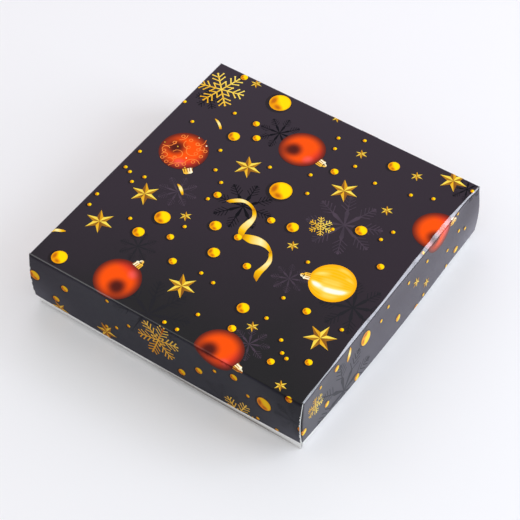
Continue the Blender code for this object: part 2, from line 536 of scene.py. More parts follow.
def thicken(piece, board):
    # the board's thickness, inwards, with its own finishes for the inside and the cut edge
    solid = piece.modifiers.new("board", "SOLIDIFY")
    solid.thickness = board * mm
    solid.offset = -1
    solid.use_even_offset = True
    solid.material_offset = 1
    solid.material_offset_rim = 2


def addBoard(half, sheet, name, nodes):
    piece = addPiece(sheet, name, half["part"], half["finishes"], nodes)
    thicken(piece, half["board"])


# Shader writing: a wire wraps an output socket, and a recipe makes the nodes
class Wire:
    def __init__(self, recipe, socket):
        self.recipe = recipe
        self.socket = socket

    def __add__(self, other):
        return self.recipe.math("ADD", self, other)

    def __sub__(self, other):
        return self.recipe.math("SUBTRACT", self, other)

    def __mul__(self, other):
        return self.recipe.math("MULTIPLY", self, other)

    def __truediv__(self, other):
        return self.recipe.math("DIVIDE", self, other)

    def __rsub__(self, other):
        return self.recipe.math("SUBTRACT", other, self)

    def __pow__(self, other):
        return self.recipe.math("POWER", self, other)

    __radd__ = __add__


class Recipe:
    def __init__(self, name):
        self.material = bpy.data.materials.new(name)
        self.material.use_nodes = True
        self.tree = self.material.node_tree
        self.tree.nodes.clear()
        self.coordinates = self.node("ShaderNodeTexCoord")

    def node(self, kind, settings=None, inputs=None):
        made = self.tree.nodes.new(kind)
        for key, value in (settings or {}).items():
            if key == "stops":
                self.setStops(made.color_ramp, value)
            else:
                setattr(made, key, value)
        for key, value in (inputs or {}).items():
            if isinstance(value, Wire):
                self.tree.links.new(value.socket, made.inputs[key])
            else:
                made.inputs[key].default_value = value
        return made

    def setStops(self, ramp, stops):
        while len(ramp.elements) < len(stops):
            ramp.elements.new(0.5)
        for element, (place, colour) in zip(ramp.elements, stops):
            element.position = place
            element.color = (*colour, 1)

    def wire(self, node, output=0):
        return Wire(self, node.outputs[output])

    def math(self, operation, first, second=0.0, clamp=False):
        settings = {"operation": operation, "use_clamp": clamp}
        return self.wire(self.node("ShaderNodeMath", settings, {0: first, 1: second}))

    def rise(self, value, low, high):
        inputs = {"Value": value, "From Min": low, "From Max": high}
        return self.wire(self.node("ShaderNodeMapRange", {"interpolation_type": "SMOOTHSTEP"}, inputs))

    def mix(self, factor, first, second, blend="MIX"):
        inputs = {
            "Factor": factor,
            "A": first if isinstance(first, Wire) else (*first, 1),
            "B": second if isinstance(second, Wire) else (*second, 1),
        }
        made = self.node("ShaderNodeMix", {"data_type": "RGBA", "blend_type": blend})
        for key, value in inputs.items():
            socket = next(s for s in made.inputs if s.name == key and s.enabled)
            if isinstance(value, Wire):
                self.tree.links.new(value.socket, socket)
            else:
                socket.default_value = value
        return Wire(self, next(s for s in made.outputs if s.enabled))

    def ramp(self, value, stops):
        return self.wire(self.node("ShaderNodeValToRGB", {"stops": stops}, {"Fac": value}), "Color")

    def noise(self, scale, detail=2.0, roughness=0.5):
        spot = self.wire(self.coordinates, "Object")
        inputs = {"Vector": spot, "Scale": scale, "Detail": detail, "Roughness": roughness}
        return self.wire(self.node("ShaderNodeTexNoise", {}, inputs))

    def attribute(self, name):
        return self.wire(self.node("ShaderNodeAttribute", {"attribute_name": name}), "Fac")

    def local(self):
        # the print map's two coordinates on a motif
        layer = self.node("ShaderNodeUVMap", {"uv_map": "print"})
        parts = self.node("ShaderNodeSeparateXYZ", {}, {"Vector": self.wire(layer)})
        return self.wire(parts, "X"), self.wire(parts, "Y")

    def reach(self, x, y, centre=(0.0, 0.0)):
        return self.math("SQRT", (x - centre[0]) ** 2.0 + (y - centre[1]) ** 2.0)

    def bump(self, height, strength, distance):
        inputs = {"Height": height, "Strength": strength, "Distance": distance}
        return self.wire(self.node("ShaderNodeBump", {}, inputs))

    def finish(self, inputs):
        shader = self.node("ShaderNodeBsdfPrincipled", {}, inputs)
        output = self.node("ShaderNodeOutputMaterial")
        self.tree.links.new(shader.outputs[0], output.inputs[0])
        return self.material


# The printed face: ink under a satin film
filmFinish = {
    "roughness": 0.32,
    "shadeRoughness": 0.3,  # what the painted shade line adds to the roughness
    "mottle": 0.08,  # how much the film's gloss varies
    "mottleScale": 260.0,
    "darkIor": 1.325,
    "brightIor": 1.12,
    "sheen": 0.14,
    "sheenTint": (0.55, 0.56, 1.0, 1.0),
    "creaseRoughness": 0.22,
    "creaseIor": 1.9,
    "grain": 0.00001,
    "grainScale": 5200.0,
    "grainStrength": 0.15,
    "shadeColour": (0.45, 0.12, 0.0),  # what is left of a colour under full painted shade
    "shadeStrength": 1.2,
}


def printed(recipe, colour, ior=filmFinish["brightIor"], sheen=0.0):
    # puts a colour under the film; painted shade along creases and on shaded walls darkens the colour,
    # and through Metallic its reflection; the stretched strip is shiny
    score = recipe.attribute("score")
    mottled = recipe.noise(filmFinish["mottleScale"], 3.0)
    fine = recipe.noise(filmFinish["grainScale"], 1.0)
    # painted shade: where it lies, the colour is darkened towards the shade colour and Metallic darkens its
    # reflection
    shadeFactor = recipe.math("MULTIPLY", score, filmFinish["shadeStrength"], clamp=True)
    shadeColour = recipe.mix(shadeFactor, (1.0, 1.0, 1.0), filmFinish["shadeColour"])
    gloss = (mottled - 0.5) * filmFinish["mottle"] + score * filmFinish["shadeRoughness"]
    return recipe.finish({
        "Base Color": recipe.mix(1.0, colour, shadeColour, "MULTIPLY"),
        "Metallic": score,
        "Roughness": filmFinish["roughness"] + gloss,
        "IOR": ior,
        "Sheen Weight": sheen,
        "Sheen Tint": filmFinish["sheenTint"],
        "Coat Weight": recipe.attribute("shine"),
        "Coat Roughness": filmFinish["creaseRoughness"],
        "Coat IOR": filmFinish["creaseIor"],
        "Normal": recipe.bump(fine, filmFinish["grainStrength"], filmFinish["grain"]),
    })


darkInk = {
    "violet": (0.0155, 0.0070, 0.0120),
    "shadedTone": (0.0035, 0.0030, 0.0010),
    "cloud": 9.0,
    "shadeEdge": (0.02, 0.12),
    "cloudSpread": 0.12,
    "speckle": (0.028, 0.024, 0.028),
    "speckleScale": 1500.0,
    "speckleShare": 0.3,
    "shadeSpot": (0.06, -0.1),  # painted shade: the print is darker and greyer about this spot and along the front edge
    "shadeWidening": 0.4,
}


def makeDarkInk():
    recipe = Recipe("dark_printed_face")
    parts = recipe.node("ShaderNodeSeparateXYZ", {}, {"Vector": recipe.wire(recipe.coordinates, "Object")})
    # painted shade, darker and greyer towards the front corner and the front edge; random clouds break its
    # border
    spotX, spotY = darkInk["shadeSpot"]
    sideways = recipe.math("ABSOLUTE", recipe.wire(parts, "X") - spotX) * darkInk["shadeWidening"]
    away = sideways + (recipe.wire(parts, "Y") - spotY)
    spread = (recipe.noise(darkInk["cloud"]) - 0.5) * darkInk["cloudSpread"]
    outOfShade = recipe.rise(away + spread, *darkInk["shadeEdge"])
    colour = recipe.mix(outOfShade, darkInk["shadedTone"], darkInk["violet"])
    speckle = recipe.rise(recipe.noise(darkInk["speckleScale"]), 0.5, 0.9) * darkInk["speckleShare"]
    colour = recipe.mix(speckle, colour, darkInk["speckle"])
    return printed(recipe, colour, filmFinish["darkIor"], filmFinish["sheen"])


whiteFace = {
    # the brownish colour of the painted contact shadow at the bottom crease
    "scuff": (0.11, 0.08, 0.06),
    "colour": (0.86, 0.86, 0.845),
    "shade": (0.80, 0.805, 0.795),
    "fibre": (0.68, 0.68, 0.66),
    "fibreScale": 900.0,
    "roughness": 0.62,
}


def makeWhiteFace():
    recipe = Recipe("white_board_face")
    fibre = recipe.noise(whiteFace["fibreScale"], 4.0, 0.6)
    broad = recipe.noise(25.0)
    colour = recipe.mix(broad, whiteFace["colour"], whiteFace["shade"])
    colour = recipe.mix(recipe.rise(fibre, 0.55, 0.8) * 0.25, colour, whiteFace["fibre"])
    return recipe.finish({
        # painted contact shadow mixed into the colour along the bottom crease
        "Base Color": recipe.mix(recipe.attribute("scuff"), colour, whiteFace["scuff"]),
        "Roughness": whiteFace["roughness"] + (fibre - 0.5) * 0.1,
        "Normal": recipe.bump(fibre, 0.25, 0.00004),
    })


edgeFace = {"light": (0.78, 0.79, 0.77), "dark": (0.55, 0.56, 0.54), "fibreScale": 3500.0, "roughness": 0.85}


def makeCutEdge():
    recipe = Recipe("cut_board_edge")
    fibre = recipe.noise(edgeFace["fibreScale"], 3.0, 0.7)
    return recipe.finish({
        "Base Color": recipe.mix(fibre, edgeFace["light"], edgeFace["dark"]),
        "Roughness": edgeFace["roughness"] + (fibre - 0.5) * 0.1,
        "Normal": recipe.bump(fibre, 0.4, 0.00005),
    })


darkFace = makeDarkInk()
plainFace = makeWhiteFace()
cutEdge = makeCutEdge()
lid.update({"slot": "printed_board", "finishes": [darkFace, plainFace, cutEdge]})
tray.update({"slot": "white_board", "finishes": [plainFace, plainFace, cutEdge]})
print("board finishes made")


# The folded sheets of both halves
sheetGrid = {"spacing": 6.0}


def trayTabMiddles(half):
    return [share * 2 * half["halfX"] for share in half.get("tabShares", ())]


def makeOuterSheet(half, panel):
    acrossX, acrossY = foldLines(half)
    reachX = half["halfX"] + half["wall"] - half.get("sideDrop", 0)
    reachY = half["halfY"] + half["wall"] - half["rimRadius"]
    slotOuter = half["halfY"] - half["rollWidth"] + half["board"] + half.get("tabPlay", 0)
    slotInner = half["halfY"] - half["rollWidth"] - half.get("tabPlay", 0)
    slotHalf = half.get("tabWidth", 0) / 2 + half.get("tabPlay", 0)
    for middle in trayTabMiddles(half):
        acrossX += [middle - slotHalf, middle + slotHalf]
        acrossY += [-slotOuter, -slotInner, slotInner, slotOuter]

    def keeps(x, y):
        inSlot = slotInner < abs(y) < slotOuter and any(abs(x - m) < slotHalf for m in trayTabMiddles(half))
        return onOuterSheet(half, x, y) and not inSlot

    sheet = cutBlank((-reachX, reachX), (-reachY, reachY), sheetGrid["spacing"], acrossX, acrossY, keeps)
    if half["ragged"]:
        cutAlongCrease(half, sheet)
    foldSheet(half, sheet)
    walls = ("front_outer_wall", "back_outer_wall", "left_side_wall", "right_side_wall")
    nodes = [f"{half['part']}_{node}" for node in (f"{panel}_panel", *walls)]
    addBoard(half, sheet, f"{half['part']}_{panel}_and_outer_walls", nodes)


def makeRolledWall(half, side):
    acrossX, acrossY = foldLines(half)
    start = half["halfY"] + half["wall"] - half["rimRadius"]
    longest = half["halfY"] + rolledLength(half, half["innerDepth"])
    shortest = longest - half.get("tabDepth", 0)
    tabHalf = half.get("tabWidth", 0) / 2
    sign = -1 if side == "front" else 1
    acrossX += [m + n for m in trayTabMiddles(half) for n in (-tabHalf, tabHalf)]
    acrossY += [sign * shortest]

    def keeps(x, y):
        return abs(y) < shortest or any(abs(x - m) < tabHalf for m in trayTabMiddles(half))

    reach = (-half["innerReach"], half["innerReach"])
    sheet = cutBlank(reach, (sign * start, sign * longest), sheetGrid["spacing"], acrossX, acrossY, keeps)
    foldSheet(half, sheet)
    name = f"{half['part']}_{side}"
    addBoard(half, sheet, f"{name}_rolled_wall", [f"{name}_rim_web", f"{name}_inner_wall"])


flapCut = {"taper": 4.0, "lowMargin": 0.6}


def makeFlaps(half, side):
    sign = -1 if side == "left" else 1
    nearX = half["halfX"] + half["headroom"]
    farX = half["halfX"] + half["wall"] - flapCut["lowMargin"]
    nearY = turnEnd(half)
    farY = nearY + half["halfX"] - half["cornerRadius"] - half["flapReach"]
    both = bmesh.new()
    for end in (-1, 1):
        flap = cutBlank((sign * nearX, sign * farX), (end * nearY, end * farY), sheetGrid["spacing"])
        for edgeX, slant in ((nearX, 1), (farX, -1)):
            # the taper: a slanted cut along each long side
            bmesh.ops.bisect_plane(
                flap,
                geom=flap.verts[:] + flap.edges[:] + flap.faces[:],
                dist=1e-5,
                plane_co=(sign * edgeX, end * nearY, 0),
                plane_no=Vector((-slant * sign * (farY - nearY), end * flapCut["taper"], 0)).normalized(),
                clear_outer=True,
            )
        foldSheet(half, flap)
        moveInto(both, flap)
    nodes = [f"{half['part']}_{end}_{side}_corner_flap" for end in ("front", "back")]
    addBoard(half, both, f"{half['part']}_{side}_corner_flaps", nodes)


rawEnd = {"width": 0.5, "proud": 0.06, "depth": 0.8, "sunk": -0.03, "spacing": 1.0}


def makeRawEnds(half):
    # the fluffed cut ends of the two outer walls, at the four upright corners
    ends = bmesh.new()
    near = half["halfX"] - rawEnd["width"]
    far = half["halfX"] + rawEnd["proud"]
    low = half["halfY"] + half["headroom"] * 0.5
    high = half["halfY"] + half["wall"] - half["rimRadius"] * 0.5
    for sideX in (-1, 1):
        for sideY in (-1, 1):
            strip = cutBlank((sideX * near, sideX * far), (sideY * low, sideY * high), rawEnd["spacing"])
            foldSheet(half, strip, rawEnd["sunk"])
            moveInto(ends, strip)
    piece = addPiece(ends, f"{half['part']}_cut_ends", half["part"], [cutEdge])
    thicken(piece, rawEnd["depth"])
    piece.modifiers["board"].material_offset = 0
    piece.modifiers["board"].material_offset_rim = 0


makeOuterSheet(lid, "top")
makeOuterSheet(tray, "floor")
for side in ("front", "back"):
    makeRolledWall(lid, side)
    makeRolledWall(tray, side)
for side in ("left", "right"):
    makeFlaps(lid, side)
    makeFlaps(tray, side)
makeRawEnds(lid)
print("folded sheets made")


# The print. Motifs are drawn at unit size, set out on the flat sheet and folded with it.
spotSearch = {  # first guesses on the flat sheet, in millimetres, and how the search goes on
    "starts": {"top": (0, 0), "front": (0, -122), "right": (122, 0)},
    "probe": 0.25,
    "longestStep": 40,
    "tries": 30,
    "close": 0.01,
}


def blankSpot(pixel, face):
    # the spot of the lid's flat sheet that shows at this pixel of the photograph, or would if the wall
    # went on past its end
    x, y = spotSearch["starts"][face]

    def pixelOf(x, y):
        return toPixel(foldPoint(lid, x, y, asSide=face == "right", wallPath=firstBend))

    probe = spotSearch["probe"]
    longest = spotSearch["longestStep"]
    for attempt in range(spotSearch["tries"]):
        here = pixelOf(x, y)
        alongX = (pixelOf(x + probe, y) - here) / probe
        alongY = (pixelOf(x, y + probe) - here) / probe
        miss = Vector(pixel) - here
        size = alongX.x * alongY.y - alongX.y * alongY.x
        stepX = (miss.x * alongY.y - miss.y * alongY.x) / size
        stepY = (alongX.x * miss.y - alongX.y * miss.x) / size
        x += max(-longest, min(longest, stepX))
        y += max(-longest, min(longest, stepY))
        if abs(stepX) + abs(stepY) < spotSearch["close"]:
            break
    return Vector((x, y))


def setLocalMap(shape):
    # the print map holds each motif's own unit coordinates
    layer = shape.loops.layers.uv.new("print")
    for face in shape.faces:
        for loop in face.loops:
            loop[layer].uv = (loop.vert.co.x, loop.vert.co.y)


def asTemplate(shape, name):
    setLocalMap(shape)
    shape.normal_update()
    downward = [face for face in shape.faces if face.normal.z < 0]
    bmesh.ops.reverse_faces(shape, faces=downward)
    mesh = bpy.data.meshes.new(name)
    shape.to_mesh(mesh)
    shape.free()
    return mesh


inkStep = 0.001  # parts of a motif that cross lie this far apart, in millimetres


def addBar(shape, start, end, width, endWidth=None, height=0.0):
    start, end = Vector((*start, height)), Vector((*end, height))
    reach = end - start
    angle = math.atan2(reach.y, reach.x)
    made = bmesh.ops.create_grid(shape, x_segments=1, y_segments=1, size=0.5)["verts"]
    far = [v for v in made if v.co.x > 0]
    if endWidth is not None:
        bmesh.ops.scale(shape, verts=far, vec=(1, endWidth / width, 1))
    where = Matrix.Translation((start + end) / 2) @ Matrix.Rotation(angle, 4, "Z")
    bmesh.ops.transform(shape, verts=made, matrix=where @ Matrix.Diagonal((reach.length, width, 1, 1)))


def addDisc(shape, centre, radius, segments=10, height=0.0):
    where = Matrix.Translation((*centre, height))
    bmesh.ops.create_circle(shape, cap_ends=True, segments=segments, radius=radius, matrix=where)


def turnedCopies(shape, count):
    bmesh.ops.spin(
        shape,
        geom=shape.verts[:] + shape.edges[:] + shape.faces[:],
        cent=(0, 0, 0),
        axis=(0, 0, 1),
        dvec=(0, 0, 3 * inkStep),
        angle=2 * math.pi * (count - 1) / count,
        steps=count - 1,
        use_duplicate=True,
    )


snowflakes = {
    # stem and twig widths; twigs as (place on the stem, length, lean off the stem in degrees); bulb radius at
    # each tip; the wedge as the places where it starts, is widest and ends, and its width
    "open": {"arms": 6, "stem": 0.06, "twig": 0.052, "bulb": 0.046, "berries": True,
             "twigs": [(0.25, 0.30, 55), (0.5, 0.32, 51), (0.72, 0.30, 50)]},
    "berried": {"arms": 6, "stem": 0.056, "twig": 0.048, "bulb": 0.043, "berries": True,
                "twigs": [(0.16, 0.2, 50), (0.36, 0.32, 50), (0.56, 0.32, 50), (0.76, 0.24, 50)]},
    "bold": {"arms": 6, "stem": 0.07, "twig": 0.06, "bulb": 0.055, "berries": True,
             "twigs": [(0.22, 0.22, 50), (0.48, 0.34, 50), (0.74, 0.26, 50)]},
    "feathered": {"arms": 8, "stem": 0.03, "twig": 0.024, "bulb": 0.042, "berries": False,
                  "twigs": [(0.5, 0.26, 48), (0.63, 0.24, 46), (0.75, 0.2, 44), (0.86, 0.13, 42)],
                  "wedge": (0.03, 0.42, 0.53, 0.12)},
}


def makeSnowflake(style):
    choice = snowflakes[style]
    shape = bmesh.new()
    addBar(shape, (0, 0), (1 - choice["bulb"], 0), choice["stem"])
    addDisc(shape, (1 - choice["bulb"], 0), choice["bulb"], height=inkStep)
    for place, length, degrees in choice["twigs"]:
        lean = math.radians(degrees)
        for sign in (-1, 1):
            tip = (place + length * math.cos(lean), sign * length * math.sin(lean))
            addBar(shape, (place, 0), tip, choice["twig"], height=inkStep)
            if choice["berries"]:
                addDisc(shape, tip, choice["bulb"] * 0.85, 8, 2 * inkStep)
    if "wedge" in choice:
        near, wide, far, width = choice["wedge"]
        addBar(shape, (near, 0), (wide, 0), choice["stem"], width, 2 * inkStep)
        addBar(shape, (wide, 0), (far, 0), width, choice["stem"], 2 * inkStep)
    turnedCopies(shape, choice["arms"])
    return asTemplate(shape, f"{style}_snowflake")


starShape = {"valley": 0.42, "tips": 6}
# how light each facet is, tip by tip from the one on the right: its far side, then its near side
starLight = [(0.95, 0.3), (0.9, 0.35), (0.25, 0.55), (0.35, 0.85), (0.3, 0.85), (0.22, 0.65)]


def makeStar():
    shape = bmesh.new()
    tips = starShape["tips"]
    bmesh.ops.create_circle(shape, cap_ends=True, cap_tris=True, segments=2 * tips, radius=1)
    facets = math.pi / tips
    for vert in shape.verts:
        angle = math.atan2(vert.co.y, vert.co.x)
        step = round(angle / facets)
        if vert.co.length > 0.5 and step % 2:
            vert.co = vert.co * starShape["valley"]
    light = shape.faces.layers.float.new("facet")
    for face in shape.faces:
        centre = face.calc_center_median()
        angle = math.atan2(centre.y, centre.x) % (2 * math.pi)
        tip = round(angle / (2 * facets)) % tips
        offset = (angle - tip * 2 * facets + math.pi) % (2 * math.pi) - math.pi
        face[light] = starLight[tip][0 if offset > 0 else 1]
    return asTemplate(shape, "star")


def spinRound(shape, geometry, steps, middle=0.0):
    # a full turn about the place (middle, 0)
    turn = {"cent": (middle, 0, 0), "axis": (0, 0, 1), "angle": 2 * math.pi}
    bmesh.ops.spin(shape, geom=geometry, steps=steps, use_merge=True, **turn)


def makeDisc(rings, steps):
    # a round motif: a spoke spun into rings, so that it bends over a crease
    shape = bmesh.new()
    spoke = [shape.verts.new((n / rings, 0, 0)) for n in range(rings + 1)]
    edges = [shape.edges.new(pair) for pair in zip(spoke, spoke[1:])]
    spinRound(shape, spoke + edges, steps)
    bmesh.ops.remove_doubles(shape, verts=shape.verts[:], dist=1e-4)
    return asTemplate(shape, "disc")


def makeBead():
    shape = bmesh.new()
    addDisc(shape, (0, 0), 1, 22)
    return asTemplate(shape, "bead")


baubleCap = {"start": 0.96, "end": 1.26, "halfWidth": 0.2, "ring": 0.06, "ringWidth": 0.036}


def makeCap(ringed):
    # the metal cap, with its hanging ring or without, beyond the bauble's edge at unit radius
    cap = baubleCap
    shape = bmesh.new()
    addBar(shape, (cap["start"], 0), (cap["end"] - 0.05, 0), 2 * cap["halfWidth"], 1.8 * cap["halfWidth"])
    addBar(shape, (cap["end"] - 0.05, 0), (cap["end"], 0), 1.8 * cap["halfWidth"], 1.1 * cap["halfWidth"])
    if not ringed:
        return asTemplate(shape, "short_cap")
    middle = cap["end"] + cap["ring"] * 0.6
    edge = [shape.verts.new((middle + cap["ring"] + n * cap["ringWidth"], 0, 0)) for n in (-1, 1)]
    side = shape.edges.new(edge)
    spinRound(shape, edge + [side], 14, middle)
    return asTemplate(shape, "cap")


scrollwork = {
    "width": 0.028,
    # thin swirls: centre, radius, start angle, turns and the share of the radius left at the end
    "swirls": [
        (-0.30, 0.30, 0.25, -155, 0.33, 1.0), (0.08, 0.36, 0.27, -133, 0.42, 0.9),
        (0.12, -0.27, 0.23, 222, -0.75, 0.8), (-0.75, -0.50, 0.36, -46, 0.30, 1.0),
        (-0.92, 0.02, 0.30, -20, 0.25, 1.0), (0.80, 0.20, 0.30, -119, -0.43, 1.0),
        (1.25, -0.42, 0.66, -153, -0.15, 1.0), (-0.5, 0.65, 0.33, 77, -0.22, 1.0),
        (0.02, 0.76, 0.13, 180, 0.9, 0.5), (0.05, -0.78, 0.13, 0, 0.7, 0.8),
        (-0.25, -0.68, 0.16, 90, 0.5, 0.9), (0.42, -0.62, 0.16, 200, -0.6, 0.8),
    ],
    "loops": [
        (-0.80, 0.11), (-0.52, -0.28), (-0.52, 0.38), (-0.16, 0.22), (-0.26, 0.60), (0.05, 0.58),
        (0.24, 0.45), (0.18, 0.84), (0.28, -0.40), (0.44, -0.76), (0.72, -0.37), (0.71, -0.10),
        (0.66, 0.27), (0.43, 0.62), (-0.17, -0.76), (0.18, -0.88),
    ],
    "loopRadius": 0.07,
    "dots": [(-0.61, -0.65), (-0.28, -0.20), (0.40, 0.05), (-0.60, 0.70), (-0.10, 0.93), (0.90, -0.10)],
    "dotRadius": 0.035,
}


def addSwirl(shape, x, y, radius, start, turns, left, height):
    steps = max(6, round(abs(turns) * 20))
    edge = [shape.verts.new((radius + n * scrollwork["width"] / 2, 0, height)) for n in (-1, 1)]
    bmesh.ops.rotate(shape, verts=edge, cent=(0, 0, 0), matrix=Matrix.Rotation(math.radians(start), 3, "Z"))
    bmesh.ops.translate(shape, verts=edge, vec=(x, y, 0))
    last = shape.edges.new(edge)
    shrink = left ** (1 / steps)
    for step in range(steps):
        made = bmesh.ops.extrude_edge_only(shape, edges=[last])["geom"]
        verts = [g for g in made if isinstance(g, bmesh.types.BMVert)]
        last = next(g for g in made if isinstance(g, bmesh.types.BMEdge))
        turn = Matrix.Rotation(2 * math.pi * turns / steps, 3, "Z")
        bmesh.ops.rotate(shape, verts=verts, cent=(x, y, 0), matrix=turn)
        middle = (verts[0].co + verts[1].co) / 2
        bmesh.ops.translate(shape, verts=verts, vec=(middle - Vector((x, y, height))) * (shrink - 1))


def makeScrolls():
    shape = bmesh.new()
    for number, swirl in enumerate(scrollwork["swirls"]):
        addSwirl(shape, *swirl, number * inkStep)
    above = len(scrollwork["swirls"]) * inkStep
    for number, spot in enumerate(scrollwork["loops"]):
        addSwirl(shape, *spot, scrollwork["loopRadius"], 0, 1, 1.0, above + number % 3 * inkStep)
    return asTemplate(shape, "scrolls")


def makeDots():
    shape = bmesh.new()
    for spot in scrollwork["dots"]:
        addDisc(shape, spot, scrollwork["dotRadius"], 8)
    return asTemplate(shape, "dots")


templates = {
    **{style: makeSnowflake(style) for style in snowflakes},
    "star": makeStar(),
    "bead": makeBead(),
    "disc": makeDisc(6, 40),
    "cap": makeCap(True),
    "shortCap": makeCap(False),
    "scrolls": makeScrolls(),
    "dots": makeDots(),
}
print("motifs drawn")


# Print finishes
beadInk = {
    "dark": (0.56, 0.15, 0.004),
    "middle": (0.95, 0.37, 0.0),
    "light": (1.0, 0.73, 0.0),
    "rim": (0.95, 0.40, 0.0),
}


def makeBeadInk():
    recipe = Recipe("gold_bead_ink")
    x, y = recipe.local()
    blotch = recipe.noise(300.0, 2.0)
    light = recipe.rise(x + y, -0.75, 0.45) * 0.62 + 0.40 + (blotch - 0.5) * 0.25
    leftEnd = recipe.reach(x * 1.5, y * 0.7, (-0.93, -0.02))
    lowEnd = recipe.reach(x * 0.9, y * 1.4, (0.17, -0.80))
    for end in (leftEnd, lowEnd):
        light = light - (1.0 - recipe.rise(end, 0.0, 0.6)) * 0.5
    stops = [(0.0, beadInk["dark"]), (0.45, beadInk["middle"]), (0.92, beadInk["light"])]
    edge = recipe.rise(recipe.reach(x, y), 0.82, 0.98)
    return printed(recipe, recipe.mix(edge * 0.75, recipe.ramp(light, stops), beadInk["rim"]))


starInk = {"dark": (0.26, 0.10, 0.015), "middle": (0.84, 0.42, 0.01), "light": (1.0, 0.77, 0.09)}


def makeStarInk():
    recipe = Recipe("gold_star_ink")
    x, y = recipe.local()
    fade = recipe.reach(x, y)
    light = recipe.attribute("facet") + (fade - 0.45) * 0.15
    stops = [(0.25, starInk["dark"]), (0.6, starInk["middle"]), (0.92, starInk["light"])]
    return printed(recipe, recipe.ramp(light, stops))


baubleInk = {
    "core": (0.088, 0.012, 0.008),
    "body": (0.97, 0.088, 0.003),
    "blush": (0.80, 0.035, 0.022),
    "glow": (1.0, 0.11, 0.085),
    "rim": (0.125, 0.019, 0.012),
    "coreReach": 0.36,  # how far the dark patch lies from the middle, away from the light
    "glowSpot": (0.62, -0.28),
}


def makeBaubleInk():
    recipe = Recipe("red_bauble_ink")
    x, y = recipe.local()
    grain = (recipe.noise(2600.0, 1.0) - 0.5) * 0.05
    ahead = (x + y) * 0.707 + baubleInk["coreReach"]
    fromCore = recipe.reach(recipe.math("MAXIMUM", ahead, ahead * -0.8), (x - y) * 0.66) + grain
    fromMiddle = recipe.reach(x, y) + grain
    colour = recipe.mix(recipe.rise(x, 0.3, 0.85) * 0.85, baubleInk["body"], baubleInk["blush"])
    glow = 1.0 - recipe.rise(recipe.reach(x, y, baubleInk["glowSpot"]), 0.03, 0.34)
    colour = recipe.mix(glow * 0.85, colour, baubleInk["glow"])
    shadow = recipe.rise(fromCore, 0.02, 0.72)
    colour = recipe.mix(recipe.rise(shadow, 0.0, 0.85), baubleInk["core"], colour)
    return printed(recipe, recipe.mix(recipe.rise(fromMiddle, 0.55, 1.03), colour, baubleInk["rim"]))


stripedInk = {
    "body": (0.98, 0.50, 0.0),
    "pale": (1.0, 0.72, 0.12),
    "light": (1.0, 0.98, 0.80),
    # patches of light between the meridians: place across, half-width, strength, and where along the axis
    # each starts and ends, the cap's end being 1
    "patches": [
        (0.40, 0.30, 0.55, -0.9, 0.98), (0.30, 0.24, 0.75, 0.2, 1.0), (0.42, 0.25, 0.6, -0.95, 0.4),
        (-0.42, 0.20, 0.45, 0.1, 0.95), (-0.45, 0.14, 0.40, -0.95, -0.35), (0.0, 0.30, 0.25, -0.6, 0.6),
        (0.72, 0.16, 0.35, -0.6, 0.4), (-0.80, 0.14, 0.30, -0.8, 0.1),
    ],
}


def makeStripedInk():
    recipe = Recipe("striped_gold_bauble_ink")
    x, y = recipe.local()
    width = recipe.math("SQRT", recipe.math("MAXIMUM", 1.02 - x * x, 0.02))
    meridian = y / width
    light = recipe.math("SINE", meridian * 40.0 + x * 2.0) * 0.04 + 0.04
    for place, half, strength, start, end in stripedInk["patches"]:
        away = recipe.math("ABSOLUTE", meridian - place)
        along = recipe.rise(x, start, start + 0.45) * (1.0 - recipe.rise(x, end - 0.35, end))
        light = light + (1.0 - recipe.rise(away, 0.0, half)) * along * strength
    stops = [(0.0, stripedInk["body"]), (0.45, stripedInk["pale"]), (1.0, stripedInk["light"])]
    edge = recipe.rise(recipe.reach(x, y), 0.82, 1.0)
    return printed(recipe, recipe.mix(edge * 0.85, recipe.ramp(light, stops), (1.0, 0.43, 0.0)))


capInk = {"light": (1.0, 0.96, 0.70), "body": (0.98, 0.55, 0.05), "dark": (0.22, 0.06, 0.01)}


def makeCapInk():
    recipe = Recipe("pale_gold_cap_ink")
    x, y = recipe.local()
    ridges = recipe.math("SINE", y * 62.0) * 0.5 + 0.5
    ribbed = 1.0 - (1.0 - recipe.rise(ridges, 0.0, 0.45)) * (1.0 - recipe.rise(x, 1.12, 1.2))
    light = ribbed * (recipe.rise(y, -0.07, 0.12) * 0.55 + 0.42)
    stops = [(0.05, capInk["dark"]), (0.42, capInk["body"]), (0.95, capInk["light"])]
    return printed(recipe, recipe.ramp(light, stops))


ribbonInk = {"dark": (0.56, 0.19, 0.004), "body": (1.0, 0.56, 0.001), "light": (1.0, 0.89, 0.40)}


def makeRibbonInk():
    recipe = Recipe("gold_ribbon_ink")
    along, across = recipe.local()
    stops = [(0.0, ribbonInk["dark"]), (0.16, ribbonInk["body"]), (0.46, ribbonInk["light"]),
             (0.74, ribbonInk["body"]), (1.0, ribbonInk["dark"])]
    colour = recipe.ramp(along, stops)
    edge = recipe.math("ABSOLUTE", across - 0.5) * 2.0
    return printed(recipe, recipe.mix(recipe.rise(edge, 0.6, 1.0) * 0.35, colour, ribbonInk["body"]))


flakeInk = {"light": (1.0, 0.78, 0.13), "dark": (0.88, 0.44, 0.01)}


def makeGoldFlakeInk():
    recipe = Recipe("gold_snowflake_ink")
    x, y = recipe.local()
    patches = recipe.noise(330.0, 2.0)
    light = (x * 0.25 + y * 0.3 + 0.55) * 0.6 + patches * 0.5
    return printed(recipe, recipe.mix(recipe.rise(light, 0.3, 0.85), flakeInk["dark"], flakeInk["light"]))


def makeFlatInk(name, colour, other, ior=filmFinish["darkIor"]):
    recipe = Recipe(name)
    patches = recipe.noise(150.0, 2.0)
    sheen = filmFinish["sheen"] * 0.6
    return printed(recipe, recipe.mix(recipe.rise(patches, 0.3, 0.7), colour, other), ior, sheen)


